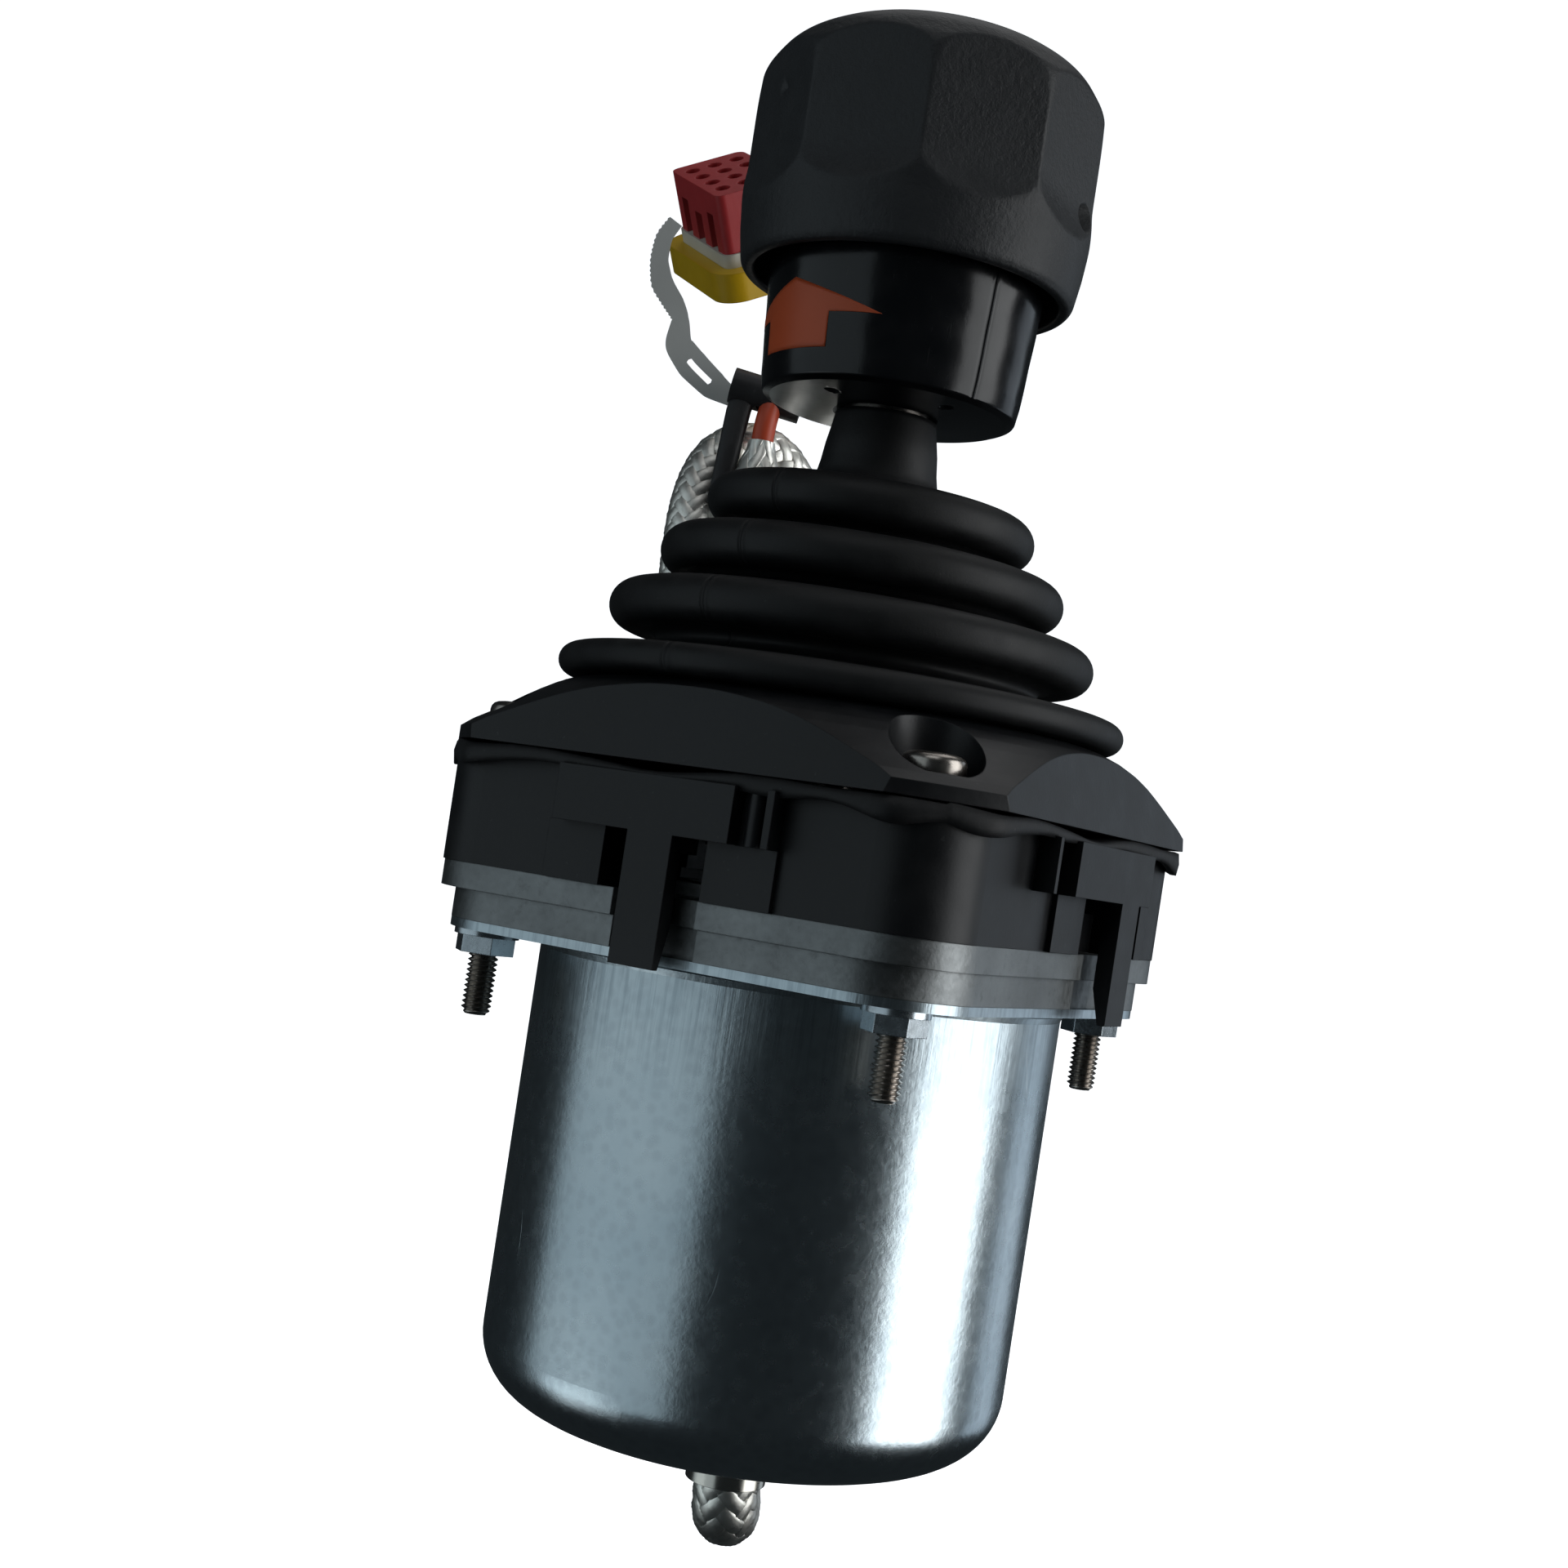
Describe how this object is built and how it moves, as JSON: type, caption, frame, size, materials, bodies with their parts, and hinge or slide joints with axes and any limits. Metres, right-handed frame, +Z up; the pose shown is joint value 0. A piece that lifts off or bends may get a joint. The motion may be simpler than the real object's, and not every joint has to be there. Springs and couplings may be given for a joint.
{
  "type": "industrial joystick",
  "caption": "Panel-mount industrial joystick: faceted knob with lift ring, rubber bellows, square cover and housing, drawn steel can and a braided lead with connector.",
  "frame": {"origin": "on the lever axis at rest, in the plane where the panel sits: the housing's top and the gasket's underside", "axes": "+Z up along the lever at rest; X and Y along the sides of the square body"},
  "size_m": [0.1272, 0.1163, 0.2252],
  "materials": {
    "knob_plastic": "fine moulded grain, matte",
    "ring_plastic": "semi-gloss moulded",
    "boot_rubber": "dusty matte rubber",
    "cover_plastic": "satin moulded",
    "gasket_rubber": "matte sheet rubber",
    "housing_plastic": "satin moulded",
    "diecast": "sand-cast grey, tumbled",
    "zinc_can": "deep-drawn, bright zinc plate",
    "stainless": "plain stainless",
    "zinc_bright": "bright zinc plate",
    "bronze": "turned",
    "spring_steel": "drawn wire",
    "black_steel": "black oxide",
    "board": "green solder mask",
    "board_green": "moulded",
    "black_part": "moulded",
    "nickel": "nickel plate",
    "tinned_braid": "tinned copper braid",
    "lead_red": "wire insulation",
    "sleeve_black": "shrink sleeve",
    "tie_white": "natural nylon",
    "connector_natural": "natural nylon",
    "connector_red": "moulded",
    "connector_yellow": "silicone"
  },
  "bodies": {
    "base": {"boot": "boot_rubber", "cover": "cover_plastic", "gasket": "gasket_rubber", "housing": "housing_plastic", "upper_plate": "diecast", "lower_plate": "diecast", "can": "zinc_can", "mounting_screws": "stainless", "mounting_nuts": "zinc_bright", "boot_clamp_ring": "zinc_bright", "clamp_screws": "stainless", "gimbal_frame": "diecast", "frame_screws": "stainless", "trunnion_bushes": "bronze", "centring_springs_x": "spring_steel", "travel_gate": "zinc_bright", "gate_spacers": "bronze", "gate_screws": "stainless", "sensor_standoffs": "bronze", "sensor_board": "board", "hall_sensor": "black_part", "board_standoffs": "bronze", "main_board": "board", "board_screws": "stainless", "terminal_block": "board_green", "cable_gland": "nickel", "gland_lock_nut": "nickel", "cable": "tinned_braid", "braid_end": "tinned_braid", "leads": "lead_red", "lead_sleeve": "sleeve_black", "cable_tie": "tie_white", "connector_shell": "connector_natural", "connector_lock": "connector_red", "connector_seal": "connector_yellow"},
    "gimbal": {"gimbal_ring": "diecast", "trunnion_pins": "stainless", "centring_springs_y": "spring_steel"},
    "lever": {"lever_shaft": "stainless", "lever_hub": "diecast", "cross_pin": "stainless", "magnet_holder": "bronze", "magnet": "spring_steel", "knob": "knob_plastic", "knob_set_screw": "black_steel", "lift_spring": "spring_steel"},
    "lift_ring": {"lift_ring": "ring_plastic", "lock_sleeve": "stainless"}
  },
  "joints": [
    {"name": "tilt_x", "type": "hinge", "parent": "base", "child": "gimbal", "pos_m": [0, 0, -0.004], "axis": [1, 0, 0], "range_deg": [-18, 18], "stiffness_Nm_per_rad": 1.5, "deforming": ["boot"]},
    {"name": "tilt_y", "type": "hinge", "parent": "gimbal", "child": "lever", "pos_m": [0, 0, -0.004], "axis": [0, 1, 0], "range_deg": [-18, 18], "stiffness_Nm_per_rad": 1.5, "deforming": ["boot"]},
    {"name": "lift", "type": "slide", "parent": "lever", "child": "lift_ring", "axis": [0, 0, 1], "range_m": [0, 0.006], "stiffness_N_per_m": 300, "springref_m": -0.01, "deforming": ["lift_spring"]}
  ]
}
